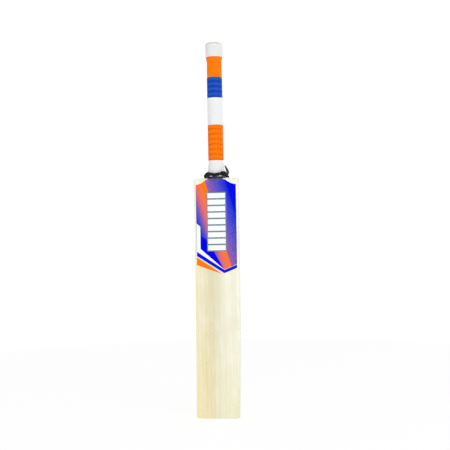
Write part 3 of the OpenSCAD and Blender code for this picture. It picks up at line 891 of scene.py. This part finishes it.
def make_grip_foot():
    """White foot of the grip, which widens to the oval of the shoulders."""
    bottom, top = span_z("grip_base_white")
    lip = 0.7
    thin_wall = GRIP_R - 0.15 - CANE_R - TWINE_T - GRIP_GAP

    def wall(z):
        return thin_wall + 0.25 * float(ease((FOOT_Z - z) / 30)) + 0.1

    def ring(z, thick, share=0.0):
        return (bore(z) + thick, bore(z, FOOT_HALF_D) + thick, z, share)

    profile = [ring(bottom + lip * (1 - cosine), wall(bottom) - lip + lip * sine)
               for cosine, sine in quarter_turn(4)]
    profile += [ring(z, wall(z), relief_share(z, bottom + 0.6, top, fade=2.0))
                for z in np.arange(bottom + 1.1, top - 0.4, RING_STEP)]
    profile.append(ring(top, thin_wall - 0.2))
    profile += [ring(z, 0.0) for z in np.linspace(top, bottom, 12)]
    revolve("grip_white_foot", profile, "white", "grip_white", "grip_base_white", 228,
            pimple_relief(0.12))


make_ribbed_band("grip_orange_lower", "ribbed_orange", "grip_band_orange_lower",
                 LOWER_RIBS, seed=0.4)
make_ribbed_band("grip_blue", "blue", "grip_band_blue", BLUE_RIBS, seed=1.9)
make_white_band()
make_upper_band()
make_grip_end()
make_grip_foot()


# ------------------------------------------------------------------ cord helpers
def unit(vector):
    return vector / np.linalg.norm(vector)


def path_frames(path, closed):
    """Two directions square to the path at each point, carried along without twist."""
    count = len(path)
    tangents = np.zeros_like(path)
    for i in range(count):
        before = path[(i - 1) % count] if closed or i > 0 else path[i]
        after = path[(i + 1) % count] if closed or i < count - 1 else path[i]
        tangents[i] = (after - before) / (np.linalg.norm(after - before) + 1e-12)
    side = np.array([0.0, 0.0, 1.0])
    sides = []
    for tangent in tangents:
        side = unit(side - (side @ tangent) * tangent)
        sides.append(side)
    sides = np.array(sides)
    others = np.cross(tangents, sides)
    if closed:                                  # spread the closing twist along the loop
        last = unit(sides[-1] - (sides[-1] @ tangents[0]) * tangents[0])
        gap = math.atan2(last @ others[0], last @ sides[0])
        twist = -gap * np.arange(count) / count
        cosine, sine = np.cos(twist)[:, None], np.sin(twist)[:, None]
        sides, others = sides * cosine + others * sine, others * cosine - sides * sine
    return sides, others


def sweep(path, sides, half_side, others, half_other, segs, closed=False):
    """Ovals along a path; an open path gets its ends fanned shut."""
    count = len(path)
    angle = np.linspace(0, 2 * PI, segs, endpoint=False)
    points = path[:, None, :] + (half_side * np.cos(angle))[:, :, None] * sides[:, None, :] \
        + (half_other * np.sin(angle))[:, :, None] * others[:, None, :]
    verts = points.reshape(-1, 3)
    faces = wall_faces(count, segs, closed)
    if not closed:
        verts = np.concatenate([verts, path[:1], path[-1:]])
        start_tip, end_tip = count * segs, count * segs + 1
        end = (count - 1) * segs
        faces += [((j + 1) % segs, j, start_tip) for j in range(segs)]
        faces += [(end + j, end + (j + 1) % segs, end_tip) for j in range(segs)]
    return verts, faces


def make_cord(name, path, half_side, half_other, segs, braid, pitch, closed=True,
              material="cord", replaced=()):
    """A cord along a path; braid is the height of its crossing strands."""
    count = len(path)
    half_side = np.broadcast_to(np.asarray(half_side, float), (count,))
    half_other = np.broadcast_to(np.asarray(half_other, float), (count,))
    sides, others = path_frames(path, closed)
    steps = np.linalg.norm(np.diff(path, axis=0), axis=1)
    along = np.concatenate([[0], np.cumsum(steps)])
    if closed:                                  # fit a whole number of pitches
        total = along[-1] + np.linalg.norm(path[0] - path[-1])
        pitch = total / max(1, round(total / pitch))
    angle = np.linspace(0, 2 * PI, segs, endpoint=False)[None, :]
    turn = 2 * PI * along[:, None] / pitch
    strands = np.maximum(np.abs(np.sin(2 * angle + turn)), np.abs(np.sin(2 * angle - turn)))
    swollen = 1 + braid * (strands - 0.8)
    verts, faces = sweep(path, sides, half_side[:, None] * swollen, others,
                         half_other[:, None] * swollen, segs, closed)
    build(name, verts, faces, material, "cord", replaced, sharp=60)


def curve_through(points, count):
    """A smooth path of count points through the given ones."""
    points = np.asarray(points, float)
    points = np.concatenate([[2 * points[0] - points[1]], points, [2 * points[-1] - points[-2]]])
    spans = len(points) - 3
    path = []
    for k in range(count):
        part = spans * k / (count - 1)
        i = min(int(part), spans - 1)
        part -= i
        before, start, end, after = points[i:i + 4]
        path.append(0.5 * (2 * start + (end - before) * part
                           + (2 * before - 5 * start + 4 * end - after) * part * part
                           + (3 * start - before - 3 * end + after) * part ** 3))
    return np.array(path)


def around(degrees, table):
    """Smooth periodic look-up in a table of (degrees, value)."""
    angles = np.array([entry[0] for entry in table] + [table[0][0] + 360.0])
    values = np.array([entry[1] for entry in table] + [table[0][1]])
    degrees = np.mod(np.asarray(degrees, float) - angles[0], 360.0) + angles[0]
    i = np.clip(np.searchsorted(angles, degrees, side="right") - 1, 0, len(angles) - 2)
    part = (degrees - angles[i]) / (angles[i + 1] - angles[i])
    return values[i] + (values[i + 1] - values[i]) * part * part * (3 - 2 * part)


# ------------------------------------------------------------------ tied cord
# degrees round the handle from +x towards the back, and height above the shoulders
DRAPE = [(0, 6.4), (35, 6.6), (90, 7.0), (150, 6.4), (180, 4.8), (203, 6.2), (228, 8.8),
         (250, 8.6), (270, 7.2), (288, 8.6), (307, 11.0), (328, 9.6), (345, 7.2)]
# the same angles' sense, and the cord's relative thickness
THICKNESS = [(0, 1.0), (90, 0.9), (180, 0.95), (205, 1.06), (232, 1.12), (254, 1.0),
             (272, 0.72), (290, 0.95), (310, 1.1), (340, 1.05)]
FULL_TURN = np.linspace(0, 2 * PI, 361)[:-1]


def near_handle(points):
    """Points given from the handle's axis and the shoulders, in the blade's frame."""
    return [(x, AXIS_Y + y, SHOULDER_Z + z) for x, y, z in points]


def make_tie_loop():
    """Two turns of one strand that wind round each other."""
    degrees = np.linspace(0, 720, 361)[:-1]
    angle = np.radians(degrees)
    thick = around(degrees, THICKNESS)
    wind = 3.5 * angle + 0.6
    half_w = 25.2 + 1.85 * thick * np.cos(wind)
    half_d = 22.8 + 1.85 * thick * np.cos(wind)
    z = SHOULDER_Z + around(degrees, DRAPE) + 2.6 * thick * np.sin(wind)
    path = np.stack([half_w * np.cos(angle), AXIS_Y + half_d * np.sin(angle), z], axis=1)
    radius = 2.35 * thick
    make_cord("tie_loop", path, radius * 1.12, radius * 0.98, 22, braid=0.16, pitch=5.2,
              replaced=("tie_cord",))


def make_tie_knot():
    """A knot at the front right, made of one small looping strand."""
    turn = np.linspace(0, 2 * PI, 121)[:-1]
    sideways = (np.sin(turn) + 2 * np.sin(2 * turn)) * 1.9
    upward = (np.cos(turn) - 2 * np.cos(2 * turn)) * 1.45
    outward = -np.sin(3 * turn) * 2.0
    angle = math.radians(318)
    out = unit(np.array([math.cos(angle) * 0.9, math.sin(angle), 0.0]))
    side = np.array([-out[1], out[0], 0.0])
    centre = np.array([26.4 * math.cos(angle), AXIS_Y + 24.2 * math.sin(angle),
                       SHOULDER_Z + 10.4])
    path = centre + sideways[:, None] * side + upward[:, None] * np.array([0, 0, 1.0]) \
        + outward[:, None] * out
    make_cord("tie_knot", path, 2.05, 1.95, 20, braid=0.16, pitch=5.0)


def make_tie_short_end():
    """A short end that lies down over the right shoulder."""
    path = curve_through(near_handle([
        (19.5, -18.5, 10.0), (24.0, -15.5, 7.4), (27.2, -11.5, 4.6), (29.0, -8.0, 3.0),
        (29.8, -4.0, 2.6)]), 40)
    radius = 2.35 - 0.5 * np.linspace(0, 1, 40) ** 3
    make_cord("tie_short_end", path, radius, radius * 0.95, 20, braid=0.15, pitch=5.0,
              closed=False)


def make_tie_under_thread():
    """Thin thread between the shoulders and the grip, squarer and lower at the front."""
    cosine, sine = np.cos(FULL_TURN), np.sin(FULL_TURN)
    front = sine < 0
    x = 20.9 * np.sign(cosine) * np.abs(cosine) ** np.where(front, 0.62, 0.85)
    y = np.where(front, -18.9 * np.abs(sine) ** 0.36, 18.2 * np.abs(sine) ** 0.72)
    dip = 3.3 * ease((-y - 15.6) / 2.3) + 0.25 * np.sin(5 * FULL_TURN + 0.6) * front * sine * sine
    path = np.stack([x, AXIS_Y + y, SHOULDER_Z + 1.9 - dip], axis=1)
    make_cord("tie_under_thread", path, 1.35, 1.35, 16, braid=0.22, pitch=3.2,
              material="cord_grey")


def make_tie_core():
    """The core that the two turns are wound round."""
    degrees = np.degrees(FULL_TURN)
    path = np.stack([24.6 * np.cos(FULL_TURN), AXIS_Y + 22.2 * np.sin(FULL_TURN),
                     SHOULDER_Z + around(degrees, DRAPE)], axis=1)
    thick = around(degrees, THICKNESS)
    make_cord("tie_core", path, 2.5 * thick, 2.2 * thick, 16, braid=0.05, pitch=5.0)


def make_tie_loose_end():
    """The loose flat end, standing up against the grip."""
    count = 60
    path = curve_through(near_handle([
        (25.5, -13.0, 8.0), (28.6, -9.5, 12.0), (26.8, -6.5, 18.5), (23.6, -5.0, 25.0),
        (20.7, -4.0, 31.0)]), count)
    along = np.linspace(0, 1, count)
    half_w = 3.2 * np.sin(PI * np.clip(0.30 + 0.68 * along, 0, 1)) ** 0.8 \
        * (1 - 0.15 * along) + 0.15
    half_t = np.minimum(0.85, half_w * 0.6)
    tangents = np.gradient(path, axis=0)
    tangents /= np.linalg.norm(tangents, axis=1)[:, None]
    facing = np.array([0.25, -1.0, 0.0])
    facing = facing - (tangents @ facing)[:, None] * tangents
    facing /= np.linalg.norm(facing, axis=1)[:, None]
    verts, faces = sweep(path, np.cross(tangents, facing), half_w[:, None], facing,
                         half_t[:, None], 20)
    build("tie_loose_end", verts, faces, "tail", "cord", sharp=60)


make_tie_loop()
make_tie_knot()
make_tie_short_end()
make_tie_under_thread()
make_tie_core()
make_tie_loose_end()

# ------------------------------------------------------------------ decals
PANEL_HALF_W = 47.2
PANEL_TOP_Z = SHOULDER_Z - 3.2
ART_Z = SHOULDER_Z + 1.6                        # the artwork is measured down from here
STEP_X = -PANEL_HALF_W + 9.6                    # where the panel's lower edge steps down
TURN_X = 18.0                                   # where the slanting edges turn upward
ORANGE_END_X = 10.8
BAR_COUNT, BAR_GAP = 9, 3.4


def skin(rows, points, side=-1, off=0.05, thick=0.2):
    """A film over the face (side -1) or the back (side 1); rows: x, low z, high z."""
    rings = []
    for x, low, high in rows:
        z = np.linspace(low, high, points)
        y = face_y(x, z) - off if side < 0 else back_y(x, z) + off
        near = np.stack([np.full(points, x), y, z], axis=1)
        far = near + np.array([0, side * thick, 0])
        rings.append(np.concatenate([near, far[::-1]]))
    return np.concatenate(rings), loft_faces(len(rings), 2 * points)


def slant(x, start_x, start_down, end_x, end_down):
    """Height on a straight edge, given its ends' depths below the artwork's top."""
    return ART_Z - start_down - (end_down - start_down) * (x - start_x) / (end_x - start_x)


def panel_high(x):
    beside = min(max((abs(x) - 22) / (PANEL_HALF_W - 22), 0), 1)
    return PANEL_TOP_Z - 11.5 * (1 - (1 - beside) ** 1.8)


def panel_low(x):
    if x < STEP_X:
        return slant(x, -PANEL_HALF_W, 106, STEP_X, 114.2)
    if x < TURN_X:
        return slant(x, STEP_X, 166, TURN_X, 214.5)
    return slant(x, TURN_X, 214.5, PANEL_HALF_W, 202.5)


def stripe_high(x):
    if x < TURN_X:
        return slant(x, -PANEL_HALF_W, 171.9, TURN_X, 215.2)
    return slant(x, TURN_X, 215.2, PANEL_HALF_W, 203.2)


def stripe_low(x):
    """The stripe narrows from 10.4 at the left to 7.8 at the turn."""
    left_of_turn = max(TURN_X - x, 0) / (TURN_X + PANEL_HALF_W)
    return stripe_high(x) - (7.8 + 2.6 * left_of_turn)


def flash_high(x):
    if x < STEP_X - 0.5:
        return panel_low(x) - 0.4
    return panel_low(max(x, STEP_X)) - 0.7


def make_face_films():
    xs = [*np.linspace(-PANEL_HALF_W, STEP_X - 0.05, 9),
          *np.linspace(STEP_X + 0.05, TURN_X, 40),
          *np.linspace(TURN_X, PANEL_HALF_W, 22)[1:]]
    build("face_panel", *skin([(x, panel_low(x), panel_high(x)) for x in xs], 60),
          "panel", "print_gradient", ("decal_face_panel",))
    xs = [*np.linspace(-PANEL_HALF_W, STEP_X - 0.6, 10),
          *np.linspace(STEP_X - 0.4, TURN_X - 3, 40)]
    build("face_flash_white", *skin([(x, stripe_high(x) + 0.3, flash_high(x)) for x in xs], 16),
          "film_keyed", "print_white", ("decal_face_flash",))
    xs = [*np.linspace(-PANEL_HALF_W + 0.6, TURN_X, 40),
          *np.linspace(TURN_X, PANEL_HALF_W, 20)[1:]]
    build("face_stripe_blue", *skin([(x, stripe_low(x), stripe_high(x) - 0.3) for x in xs], 5),
          "film_blue", "print_blue", ("decal_face_stripe_blue",))
    rows = [(x, slant(x, -PANEL_HALF_W, 203.6, ORANGE_END_X, 224.2),
             slant(x, -PANEL_HALF_W, 185.8, ORANGE_END_X, 223.6))
            for x in np.linspace(-PANEL_HALF_W, ORANGE_END_X, 40)]
    build("face_stripe_orange", *skin(rows, 8), "film_orange", "print_orange",
          ("decal_face_stripe_orange",))


def make_face_bars():
    """A ladder of white bars on a grey ground."""
    (left, _, bottom), (right, _, top) = box_mm("decal_face_bars")
    rows = [(x, bottom - 2.2, top + 2.2) for x in np.linspace(left - 2.3, right + 2.3, 30)]
    build("face_bars_ground", *skin(rows, 60, off=0.26, thick=0.05), "film_grey", "print_white")
    verts, faces, base = [], [], 0
    pitch = (top - bottom + BAR_GAP) / BAR_COUNT
    for i in range(BAR_COUNT):
        low = bottom + pitch * i
        rows = [(x, low + 0.1, low + pitch - BAR_GAP - 0.1) for x in np.linspace(left, right, 24)]
        bar_verts, bar_faces = skin(rows, 8, off=0.32, thick=0.10)
        verts.append(bar_verts)
        faces += [tuple(index + base for index in face) for face in bar_faces]
        base += len(bar_verts)
    build("face_bars", np.concatenate(verts), faces, "film_white", "print_white",
          ("decal_face_bars",))


def make_back_labels():
    """A label either side of the ridge, 34 wide and shorter away from it."""
    inner_x, outer_x = 8, 42
    for name, start, end in (("left", -outer_x, -inner_x), ("right", inner_x, outer_x)):
        rows = []
        for x in np.linspace(start, end, 36):
            away = abs(x) - inner_x
            rows.append((x, SHOULDER_Z - 280 + 0.7 * away, SHOULDER_Z - 176 - 0.55 * away))
        build("back_label_" + name, *skin(rows, 40, side=1), "back", "print_gradient",
              ("decal_back_" + name,))


make_face_films()
make_face_bars()
make_back_labels()


# ------------------------------------------------------------------ floor and world
WHITE_GLOW = 1.05                               # a little over white, for floor and backdrop


def floor_material():
    """White that glows, fully so away from the bat."""
    mat = Material("floor_white")
    mat.finish(color=(0.90, 0.90, 0.90, 1), rough=0.85, spec=0.05)
    x, y, _ = mat.xyz
    far = (((x * x + y * y).op("SQRT") - 250.0) / 1400.0).clamped()
    glow = mat.value("Emission", {1: WHITE_GLOW})
    mixed = mat.value("MixShader", {0: far.op("MAXIMUM", 0.86), 1: mat.surface, 2: glow})
    mat.put(mat.output.inputs[0], mixed)
    return mat.data


def make_floor():
    radius, sides = 9.0, 96                     # metres
    angles = [2 * PI * i / sides for i in range(sides)]
    mesh = bpy.data.meshes.new("floor")
    mesh.from_pydata([(radius * math.cos(angle), radius * math.sin(angle), 0)
                      for angle in angles], [], [list(range(sides))])
    floor = bpy.data.objects.new("floor", mesh)
    bpy.context.scene.collection.objects.link(floor)
    mesh.materials.append(floor_material())


def make_world():
    """The camera sees white; the bat is lit by a dimmer white."""
    world = bpy.data.worlds.new("world")
    bpy.context.scene.world = world
    world.use_nodes = True
    tree = world.node_tree
    tree.nodes.clear()
    output = tree.nodes.new("ShaderNodeOutputWorld")
    mixed = tree.nodes.new("ShaderNodeMixShader")
    light_path = tree.nodes.new("ShaderNodeLightPath")
    tree.links.new(light_path.outputs["Is Camera Ray"], mixed.inputs[0])
    for socket, strength in ((2, WHITE_GLOW), (1, 0.46)):
        background = tree.nodes.new("ShaderNodeBackground")
        background.inputs[0].default_value = (1, 1, 1, 1)
        background.inputs[1].default_value = strength
        tree.links.new(background.outputs[0], mixed.inputs[socket])
    tree.links.new(mixed.outputs[0], output.inputs[0])


make_floor()
make_world()

# ------------------------------------------------------------------ lights, metres
MIDDLE_Z = 0.5 * float(cad_high.z)
# name, place, height aimed at, width and height, watts
LIGHTS = (
    ("key", (1.75, -1.75, 1.25), MIDDLE_Z, (1.0, 1.5), 17.5),
    ("front", (0.25, -2.6, 0.95), MIDDLE_Z, (0.35, 1.2), 7),
    ("fill", (-1.9, -1.5, 0.8), MIDDLE_Z, (1.0, 1.6), 8.5),
    ("back_left", (-1.5, 1.9, 1.3), MIDDLE_Z, (1.0, 1.5), 6),
    ("back_right", (1.7, 1.6, 0.9), MIDDLE_Z, (1.0, 1.5), 6),
    ("side", (2.4, 0.25, 0.35), 0.5 * MIDDLE_Z, (0.5, 0.9), 3),
)
for name, place, aim_z, size, watts in LIGHTS:
    light = bpy.data.lights.new(name, "AREA")
    light.shape = "RECTANGLE"
    light.size, light.size_y = size
    light.energy = watts
    lamp = bpy.data.objects.new(name, light)
    bpy.context.scene.collection.objects.link(lamp)
    lamp.location = place
    aim = Vector((0, 0, aim_z)) - Vector(place)
    lamp.rotation_euler = aim.to_track_quat("-Z", "Y").to_euler()

# ------------------------------------------------------------------ camera
AZIMUTH, ROLL = 0.15, -0.0195                   # radians
DISTANCE, CAMERA_Z = 2.2, 0.4452                # metres


def make_camera():
    lens = bpy.data.cameras.new("cam")
    camera = bpy.data.objects.new("cam", lens)
    bpy.context.scene.collection.objects.link(camera)
    bpy.context.scene.camera = camera
    lens.sensor_width = 36.0
    lens.lens = 75.0464
    lens.shift_x = 0.01722222
    lens.clip_start = 0.05
    lens.clip_end = 60
    back = Vector((math.sin(AZIMUTH), -math.cos(AZIMUTH), 0))
    camera.location = Vector((0, AXIS_Y * MM, CAMERA_Z)) + back * DISTANCE
    level = (-back).to_track_quat("-Z", "Y").to_matrix().to_4x4()
    camera.rotation_mode = "QUATERNION"
    camera.rotation_quaternion = (Matrix.Rotation(ROLL, 4, back) @ level).to_quaternion()


make_camera()

view = bpy.context.scene.view_settings
view.view_transform = "Standard"
view.look = "None"
view.exposure = 0.0
view.gamma = 1.0
